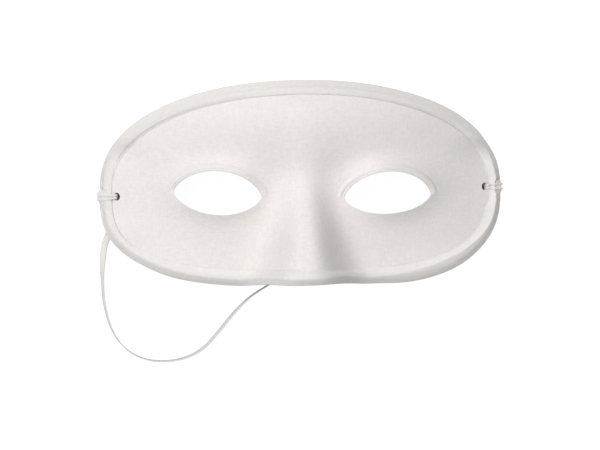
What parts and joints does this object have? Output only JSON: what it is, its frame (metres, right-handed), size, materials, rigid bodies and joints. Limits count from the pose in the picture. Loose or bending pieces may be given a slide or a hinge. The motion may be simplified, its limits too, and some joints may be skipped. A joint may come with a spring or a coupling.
{
  "type": "half mask",
  "caption": "Plain white papier-mache half mask with a moulded brow and nose, bound edge, almond eye holes and a loose tied elastic.",
  "frame": {"origin": "on the surface that the mask lies on, under the middle of the shell and its binding", "axes": "+X to the viewer's right (the wearer's left), +Y towards the forehead, +Z out of the face"},
  "size_m": [0.1765, 0.1206, 0.0499],
  "materials": {
    "paper": "matt white moulded paper with a fine cloth-like grain",
    "binding": "matt white strip folded over the edge",
    "elastic": "soft white woven elastic"
  },
  "bodies": {
    "root": {"mask_shell": "paper", "edge_binding": "binding", "left_knot": "elastic", "right_knot": "elastic", "elastic_cord": "elastic"}
  },
  "joints": []
}
